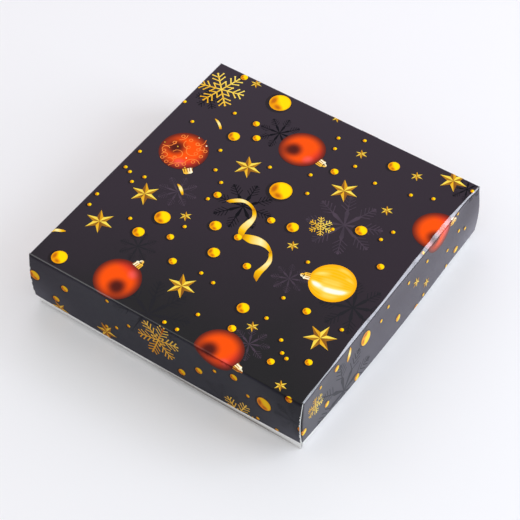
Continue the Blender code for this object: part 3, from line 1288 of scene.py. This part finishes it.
def makeShadowInk():
    # the soft shade printed behind the beads
    recipe = Recipe("printed_shade_ink")
    x, y = recipe.local()
    soft = recipe.rise(recipe.reach(x, y), 0.6, 1.0)
    return printed(recipe, recipe.mix(soft, (0.0, 0.0, 0.0), (0.0100, 0.0050, 0.0080)), 1.3)


inks = {
    "bead": makeBeadInk(),
    "star": makeStarInk(),
    "bauble": makeBaubleInk(),
    "striped": makeStripedInk(),
    "cap": makeCapInk(),
    "ribbon": makeRibbonInk(),
    "goldFlake": makeGoldFlakeInk(),
    "blackFlake": makeFlatInk("black_snowflake_ink", (0.002, 0.002, 0.003), (0.004, 0.004, 0.004), 1.12),
    "faintFlake": makeFlatInk("faint_snowflake_ink", (0.0015, 0.0015, 0.0035),
    (0.003, 0.0025, 0.005), 1.33),
    "violetFlake": makeFlatInk("violet_snowflake_ink", (0.058, 0.036, 0.055), (0.034, 0.022, 0.034)),
    "shade": makeShadowInk(),
    "swirl": makeFlatInk("orange_swirl_ink", (1.0, 0.30, 0.05),
    (0.95, 0.20, 0.03), filmFinish["brightIor"]),
}
print("print finishes made")


# The layout: motifs by the pixel of the photograph where each one's middle shows, their radii in millimetres
beadLayout = {
    "huge": {"radius": 7.3, "top": [(280.2, 103.0), (280.9, 190.9)]},
    "large": {
        "radius": 5.1,
        "top": [(59.4, 257.2), (162.5, 217.4)],
        "front": [(264.0, 404.1)],
        "right": [(365.8, 338.1)],
    },
    "medium": {
        "radius": 3.8,
        "top": [
            (234.1, 136.5), (394.0, 166.4), (361.2, 230.7), (292.8, 227.4), (138.6, 232.0),
            (215.6, 225.7), (213.9, 252.6), (243.1, 308.0),
        ],
        "front": [(34.8, 275.1)],
    },
    "small": {
        "radius": 2.5,
        "top": [
            (244.4, 77.5), (256.7, 138.2), (217.6, 194.9), (334.6, 171.7), (271.3, 220.4), (238.1, 237.3),
            (247.0, 266.2), (172.8, 261.2), (306.8, 311.3), (232.1, 328.5),
        ],
        "front": [
            (64.7, 288.7), (56.4, 298.7), (182.1, 372.0), (199.0, 370.6), (233.8, 377.3), (301.4, 430.4),
        ],
        "right": [(455.5, 249.3), (398.0, 317.8), (415.8, 307.5), (356.8, 376.9), (303.9, 432.0)],
    },
    "little": {
        "radius": 2.25,
        "top": [
            (256.4, 123.9), (170.5, 237.0), (380.7, 266.8), (270.9, 361.7), (308.8, 362.4),
            (288.9, 399.5),
        ],
        "right": [(336.8, 368.6), (326.9, 404.1)],
    },
    "tiny": {
        "radius": 1.25,
        "top": [
            (184.7, 101.7), (234.8, 113.3), (192.4, 121.6), (140.0, 151.4), (220.5, 150.4),
            (270.0, 167.3), (215.6, 170.0), (125.7, 167.0), (130.0, 171.7), (144.6, 177.0),
            (132.0, 181.6), (221.2, 182.6), (97.2, 193.9), (89.5, 204.5), (207.9, 198.9), (310.7, 175.0),
            (338.6, 138.2), (335.0, 148.8), (364.8, 140.8), (355.2, 166.4), (375.0, 183.3),
            (307.4, 193.5), (332.6, 229.4), (410.9, 195.2), (433.5, 198.9), (393.3, 232.3),
            (381.0, 239.6), (184.7, 226.7), (130.3, 218.4), (308.0, 262.2), (201.3, 273.1),
            (213.2, 282.8), (198.0, 314.6), (266.6, 318.2), (283.5, 298.0), (341.9, 329.9),
            (281.2, 340.1), (282.2, 353.1), (286.5, 358.7), (177.1, 329.5), (164.5, 322.2),
            (472.5, 191.3), (424.2, 252.6),
        ],
        "front": [
            (107.1, 301.0), (106.9, 326.2), (116.7, 327.6), (128.7, 325.9), (214.6, 371.2),
            (247.9, 396.0), (257.9, 418.2), (277.0, 429.7),
        ],
        "right": [
            (457.9, 213.6), (458.8, 230.8), (464.9, 228.3), (447.4, 250.4), (427.3, 261.2),
            (446.0, 265.8), (408.8, 283.0), (423.2, 294.5), (388.3, 306.8), (381.2, 321.0),
            (320.6, 387.6),
        ],
    },
}
starLayout = {
    "large": {
        "radius": 9.6,
        "top": [
            (248.0, 167.3), (144.9, 193.9), (99.5, 221.4), (344.2, 190.9), (181.7, 286.1), (453.4, 180.9),
        ],
    },
    "lowLeft": {"radius": 7.0, "front": [(60.6, 308.6)]},
    "low": {"radius": 7.9, "front": [(106.8, 331.8)]},
    "wide": {"radius": 10.2, "turn": 30, "top": [(320.1, 338.2)]},
    "small": {
        "radius": 4.1,
        "top": [
            (256.4, 84.1), (361.5, 154.4), (416.9, 176.6), (387.0, 210.8), (185.7, 216.4), (292.8, 245.9),
            (252.4, 326.9), (280.6, 385.9), (337.6, 118.6),
        ],
        "right": [(416.3, 282.4), (426.1, 282.6)],
    },
}
# baubles: the middle, the middle of the cap, the radius and the stretch
baubleLayout = {
    "plain": [
        ((302.2, 149.6), (321.5, 163.5), 15.3, 0.97),
        ((117.4, 279.0), (140.4, 263.2), 14.9, 1.07),
        ((218.5, 350.1), (238.0, 369.0), 15.3, 1.0),
        ((436.9, 231.4), (458.2, 219.4), 15.3, 1.0),
    ],
    "scrolled": [((183.7, 151.0), (188.0, 171.7), 16.2, 1.0)],
    "striped": [((332.4, 283.3), (304.2, 275.4), 14.7, 1.0)],
}
flakeLayout = {
    "gold": [
        ("open", "top", (221.5, 89.5), 16.0, 13.5),
        ("bold", "top", (320.7, 226.4), 7.7, 0.0),
        ("berried", "front", (158.2, 340.1), 15.4, 12.0),
        ("berried", "front", (238.4, 413.4), 14.0, 5.0),
        ("bold", "right", (315.6, 405.9), 8.3, 8.0),
    ],
    "black": [
        ("feathered", "top", (279.6, 133.2), 13.8, 5.0),
        ("feathered", "top", (243.2, 206.2), 19.6, 7.0),
        ("feathered", "top", (467.0, 189.5), 11.0, 20.0),
        ("open", "top", (210.0, 98.5), 9.8, 13.5),
        ("feathered", "right", (343.8, 390.6), 28.5, 7.0),
    ],
    "faint": [
        ("feathered", "top", (352.9, 307.6), 20.5, 22.5),
        ("feathered", "top", (148.0, 314.0), 26.0, 20.0),
        ("feathered", "top", (137.9, 246.4), 12.0, 10.0),
        ("feathered", "front", (293.0, 421.5), 14.0, 10.0),
        ("feathered", "front", (222.0, 400.0), 16.0, 0.0),
    ],
    "violet": [
        ("feathered", "top", (177.6, 191.6), 13.0, 9.5),
        ("feathered", "top", (344.3, 225.2), 24.3, 22.5),
        ("feathered", "top", (289.3, 278.6), 11.5, 22.5),
        ("feathered", "top", (249.0, 344.0), 12.6, 22.5),
    ],
}
# ribbons: for each stretch, pairs of pixels that lie opposite on its two edges
ribbonLayout = [
    ("top", [
        (226.0, 201.0, 229.4, 202.9), (232.0, 199.2, 236.0, 202.4), (240.0, 198.8, 242.6, 202.6),
        (247.0, 200.9, 246.8, 204.2), (252.0, 204.9, 250.4, 207.2), (255.2, 209.3, 252.6, 210.5),
    ]),
    ("top", [
        (255.4, 209.5, 252.3, 209.7), (256.4, 214.5, 252.4, 214.6), (255.4, 219.5, 251.2, 217.8),
        (251.6, 225.0, 246.6, 221.0), (247.0, 229.8, 240.6, 226.2), (244.2, 234.3, 238.2, 231.6),
        (243.6, 238.2, 239.2, 237.2),
    ]),
    ("top", [
        (243.8, 234.3, 242.2, 238.6), (251.6, 235.2, 249.6, 243.3), (259.4, 237.4, 258.2, 245.2),
        (265.4, 241.2, 264.0, 247.6), (269.4, 246.0, 268.4, 251.2), (271.8, 252.4, 269.8, 255.2),
    ]),
    ("top", [
        (271.8, 250.6, 268.6, 253.6), (272.2, 256.4, 268.4, 258.0), (271.6, 262.0, 265.4, 263.0),
        (267.6, 267.8, 260.6, 267.2), (261.6, 274.0, 255.0, 271.8), (256.3, 281.8, 253.6, 277.0),
    ]),
    ("top", [
        (214.8, 119.0, 215.6, 118.6), (217.0, 122.6, 219.2, 121.6), (218.8, 126.6, 221.3, 126.0),
        (219.4, 129.3, 221.6, 129.3),
    ]),
    ("top", [
        (177.2, 184.0, 178.2, 183.8), (178.6, 187.6, 181.6, 186.8), (180.2, 191.6, 183.2, 191.2),
        (181.8, 195.2, 183.4, 195.0),
    ]),
    ("top", [
        (50.6, 232.2, 51.4, 231.4), (55.0, 231.4, 55.4, 228.9), (60.4, 232.0, 60.8, 229.3),
        (66.0, 231.6, 65.4, 230.5),
    ]),
    ("right", [
        (350.2, 346.9, 351.2, 348.0), (349.2, 351.2, 350.9, 352.4), (347.8, 356.4, 349.6, 357.2),
        (346.8, 361.4, 347.6, 362.2),
    ]),
]
# motifs that the photograph doesn't show, on the flat sheet beyond the back and left edges: x, y and radius
# in millimetres, and the turn in degrees for all but the beads
hiddenLayout = {
    "bauble": [(18, 116.5, 15.3, 60), (-52, 128, 15.3, 200), (-122, 34, 15.3, 100), (-131, -62, 15.3, 20)],
    "goldFlake": [(-84, 121, 13, 5), (62, 124, 15, 14), (-120, 82, 14, 10), (-121, -18, 10, 40)],
    "blackFlake": [(-20, 128, 18, 8), (96, 122, 14, 20), (-118, -88, 16, 12), (-125, 8, 17, 30)],
    "violetFlake": [(38, 130, 12, 10), (-119, 58, 15, 0)],
    "star": [
        (-15, 113, 8.7, 0), (44, 117, 4.1, 0), (84, 112, 8.7, 10), (-72, 110, 4.1, 0),
        (-93, 133, 8.7, 20), (-113, 8, 8.7, 0), (-134, 52, 4.1, 0), (-112, -38, 4.1, 15),
        (-116, -92, 8.7, 5), (-108, 96, 4.1, 0),
    ],
    "bead": [
        (-34, 112, 2.7), (-5, 130, 3.9), (34, 110, 1.5), (52, 134, 2.7), (74, 134, 1.5), (92, 131, 3.9),
        (-66, 118, 1.5), (-98, 112, 2.7), (-30, 136, 1.5), (8, 136, 1.5), (72, 108, 1.5), (-82, 137, 1.5),
        (-106, 20, 1.5), (-134, 16, 2.7), (-108, 60, 3.9), (-132, 70, 1.5), (-106, -14, 2.7),
        (-135, -12, 3.9), (-110, -56, 1.5), (-134, -36, 1.5), (-107, -72, 5.3), (-136, -84, 2.7),
        (-130, 96, 2.7), (-136, 34, 1.5), (-109, 36, 1.5),
    ],
}
# the layers of print: the piece's name, its ink and how far it lies above the board, in millimetres
layerPlan = {
    "blackFlake": ("print_black_snowflakes", "blackFlake", 0.022),
    "faintFlake": ("print_faint_snowflakes", "faintFlake", 0.020),
    "violetFlake": ("print_violet_snowflakes", "violetFlake", 0.024),
    "shade": ("print_bead_shades", "shade", 0.056),
    "goldFlake": ("print_gold_snowflakes", "goldFlake", 0.060),
    "ribbon": ("print_ribbons", "ribbon", 0.086),
    "bead": ("print_beads", "bead", 0.106),
    "bauble": ("print_red_baubles", "bauble", 0.110),
    "striped": ("print_striped_bauble", "striped", 0.110),
    "star": ("print_stars", "star", 0.114),
    "cap": ("print_bauble_caps", "cap", 0.118),
    "scrolls": ("print_bauble_swirls", "swirl", 0.118),
    "dots": ("print_bauble_dots", "cap", 0.140),
}
ribbonRise = 0.002  # each stretch of ribbon lies this far above the one before
printEdge = {"margin": 0.05, "underRim": 1.5}  # where the print stops: beside the raw edge and under the rim
shadeOffset = {"x": -0.8, "y": -0.75, "grow": 1.2}
photoUpright = Vector((-0.563, 0.826, 0))


class PrintLayer:
    # the motifs of one ink, gathered on the flat sheet
    def __init__(self, name, ink, lift):
        self.name = name
        self.ink = ink
        self.lift = lift
        self.shape = bmesh.new()

    def stamp(self, template, x, y, radius, turn, stretch=1.0):
        before = len(self.shape.verts)
        self.shape.from_mesh(templates[template])
        self.shape.verts.ensure_lookup_table()
        # the stretch runs along the photograph's vertical, as it falls on the lid's top
        where = Matrix.Translation((x, y, 0)) @ Matrix.Scale(stretch, 4, photoUpright)
        where = where @ Matrix.Rotation(math.radians(turn), 4, "Z") @ Matrix.Diagonal((radius, radius, 1, 1))
        bmesh.ops.transform(self.shape, verts=self.shape.verts[before:], matrix=where)

    def fold(self):
        cutLines(self.shape, *foldLines(lid))
        trimSheet(self.shape, onPrintedFace)
        cutAlongCrease(lid, self.shape)
        foldSheet(lid, self.shape, self.lift)
        addPiece(self.shape, self.name, lid["part"], [self.ink])


def onPrintedFace(x, y):
    if onOuterSheet(lid, x, y):
        return abs(x) < lid["halfX"] + lid["wall"] - printEdge["margin"]
    underRim = lid["halfY"] + lid["wall"] + printEdge["underRim"]
    return abs(x) < lid["innerReach"] and abs(y) < underRim


layers = {key: PrintLayer(name, inks[ink], lift) for key, (name, ink, lift) in layerPlan.items()}


def stampBead(x, y, radius):
    layers["bead"].stamp("bead", x, y, radius, 0)
    shade = shadeOffset
    layers["shade"].stamp("bead", x + shade["x"], y + shade["y"], radius * shade["grow"], 0)


def stampBauble(kind, x, y, radius, turn, stretch=1.0):
    body = "striped" if kind == "striped" else "bauble"
    layers[body].stamp("disc", x, y, radius, turn, stretch)
    layers["cap"].stamp("shortCap" if kind == "scrolled" else "cap", x, y, radius, turn)
    if kind == "scrolled":
        layers["scrolls"].stamp("scrolls", x, y, radius, turn)
        layers["dots"].stamp("dots", x, y, radius, turn)


def spotsOf(group):
    return [blankSpot(pixel, face) for face in ("top", "front", "right") for pixel in group.get(face, ())]


for group in beadLayout.values():
    for spot in spotsOf(group):
        stampBead(spot.x, spot.y, group["radius"])
for group in starLayout.values():
    for spot in spotsOf(group):
        layers["star"].stamp("star", spot.x, spot.y, group["radius"], group.get("turn", 0))
for kind, group in baubleLayout.items():
    for middle, capMiddle, radius, stretch in group:
        spot = blankSpot(middle, "top")
        reach = blankSpot(capMiddle, "top") - spot
        stampBauble(kind, spot.x, spot.y, radius, math.degrees(math.atan2(reach.y, reach.x)), stretch)
for colour, group in flakeLayout.items():
    for style, face, pixel, radius, turn in group:
        spot = blankSpot(pixel, face)
        layers[f"{colour}Flake"].stamp(style, spot.x, spot.y, radius, turn)
for x, y, radius, turn in hiddenLayout["bauble"]:
    stampBauble("plain", x, y, radius, turn)
for x, y, radius in hiddenLayout["bead"]:
    stampBead(x, y, radius)
for x, y, radius, turn in hiddenLayout["star"]:
    layers["star"].stamp("star", x, y, radius, turn)
for ink, style in (("goldFlake", "berried"), ("blackFlake", "feathered"), ("violetFlake", "feathered")):
    for x, y, radius, turn in hiddenLayout[ink]:
        layers[ink].stamp(style, x, y, radius, turn)


def smoothLine(points, steps):
    # a smooth curve through the points
    line = []
    for n in range(len(points) - 1):
        before = points[max(0, n - 1)]
        start, end = points[n], points[n + 1]
        after = points[min(len(points) - 1, n + 2)]
        for step in range(steps):
            t = step / steps
            line.append(0.5 * (
                2 * start
                + (end - before) * t
                + (2 * before - 5 * start + 4 * end - after) * t * t
                + (3 * start - before - 3 * end + after) * t ** 3
            ))
    return line + [points[-1]]


def addRibbon(layer, face, pairs, order):
    # a flat strip between its two edges; the print map runs along and across it
    shape = bmesh.new()
    sides = [smoothLine([blankSpot(pair[n:n + 2], face) for pair in pairs], 4) for n in (0, 2)]
    count = len(sides[0])
    height = order * ribbonRise
    rows = {}
    edge = [shape.verts.new((*side[0], height)) for side in sides]
    rows.update({edge[0]: (0.0, 0.0), edge[1]: (0.0, 1.0)})
    last = shape.edges.new(edge)
    for step in range(1, count):
        made = bmesh.ops.extrude_edge_only(shape, edges=[last])["geom"]
        last = next(g for g in made if isinstance(g, bmesh.types.BMEdge))
        verts = sorted(
            (g for g in made if isinstance(g, bmesh.types.BMVert)),
            key=lambda v: (v.co.xy - sides[0][step - 1]).length,
        )
        for n, vert in enumerate(verts):
            vert.co = (*sides[n][step], height)
            rows[vert] = (step / (count - 1), float(n))
    printMap = shape.loops.layers.uv.new("print")
    shape.normal_update()
    bmesh.ops.reverse_faces(shape, faces=[face for face in shape.faces if face.normal.z < 0])
    for face in shape.faces:
        for loop in face.loops:
            loop[printMap].uv = rows[loop.vert]
    moveInto(layer.shape, shape)


for order, (face, pairs) in enumerate(ribbonLayout):
    addRibbon(layers["ribbon"], face, pairs, order)
for layer in layers.values():
    layer.fold()
for template in templates.values():
    bpy.data.meshes.remove(template)
print("print folded onto the lid")


# Floor, lamps and surroundings
floorLook = {"colour": (0.90, 0.905, 0.91), "shade": 0.97, "roughness": 0.45, "side": 3.0}


def makeFloor():
    recipe = Recipe("pale_floor")
    tone = recipe.noise(1.5, 3.0)
    shaded = tuple(floorLook["shade"] * c for c in floorLook["colour"])
    colour = recipe.mix(tone, floorLook["colour"], shaded)
    material = recipe.finish({"Base Color": colour, "Roughness": floorLook["roughness"]})
    shape = bmesh.new()
    bmesh.ops.create_grid(shape, x_segments=1, y_segments=1, size=floorLook["side"] / 2)
    mesh = bpy.data.meshes.new("floor")
    shape.to_mesh(mesh)
    shape.free()
    mesh.materials.append(material)
    floor = bpy.data.objects.new("floor", mesh)
    bpy.context.scene.collection.objects.link(floor)


lamps = {
    # azimuth and elevation seen from the box, distance and side in metres, power in watts
    "topLight": {
        "azimuth": 60, "elevation": 82, "distance": 1.6, "side": 1.2, "power": 4.4,
        "colour": (1.0, 1.0, 1.0),
    },
    "rightLight": {
        "azimuth": 115, "elevation": 25, "distance": 1.6, "side": 0.9, "power": 9.6,
        "colour": (0.80, 0.87, 1.0),
    },
    "rightCreaseLight": {
        "azimuth": 133, "elevation": 38, "distance": 1.3, "side": 0.3, "power": 1.5,
        "colour": (0.86, 0.87, 1.0),
    },
    "frontCreaseLight": {
        "azimuth": -35, "elevation": 51, "distance": 1.3, "side": 0.25, "power": 0.25,
        "colour": (0.93, 0.92, 1.0),
    },
    "frontLight": {
        "azimuth": -10, "elevation": 12, "distance": 1.6, "side": 0.5, "power": 0.4,
        "colour": (1.0, 1.0, 0.98),
    },
    "leftLight": {
        "azimuth": -75, "elevation": 30, "distance": 1.6, "side": 1.0, "power": 1.3,
        "colour": (1.0, 1.0, 0.98),
    },
    "backLight": {
        "azimuth": -146, "elevation": 28, "distance": 1.8, "side": 1.1, "power": 2.2,
        "colour": (1.0, 0.76, 1.0),
    },
}
surroundings = {"colour": (0.995, 0.985, 1.0), "strength": 0.69}


def addLamp(name, setup):
    towards = directionOf(setup)
    lamp = bpy.data.lights.new(name, "AREA")
    lamp.shape = "SQUARE"
    lamp.size = setup["side"]
    lamp.energy = setup["power"]
    lamp.color = setup["colour"]
    holder = bpy.data.objects.new(name, lamp)
    turn = towards.to_track_quat("Z", "Y")
    holder.matrix_world = Matrix.LocRotScale(towards * setup["distance"], turn, None)
    bpy.context.scene.collection.objects.link(holder)


makeFloor()
for name, setup in lamps.items():
    addLamp(name, setup)
world = bpy.data.worlds.new("studio")
world.use_nodes = True
background = world.node_tree.nodes["Background"]
background.inputs["Color"].default_value = (*surroundings["colour"], 1)
background.inputs["Strength"].default_value = surroundings["strength"]
bpy.context.scene.world = world
bpy.context.scene.view_settings.view_transform = "Standard"
print("stage and lamps set")
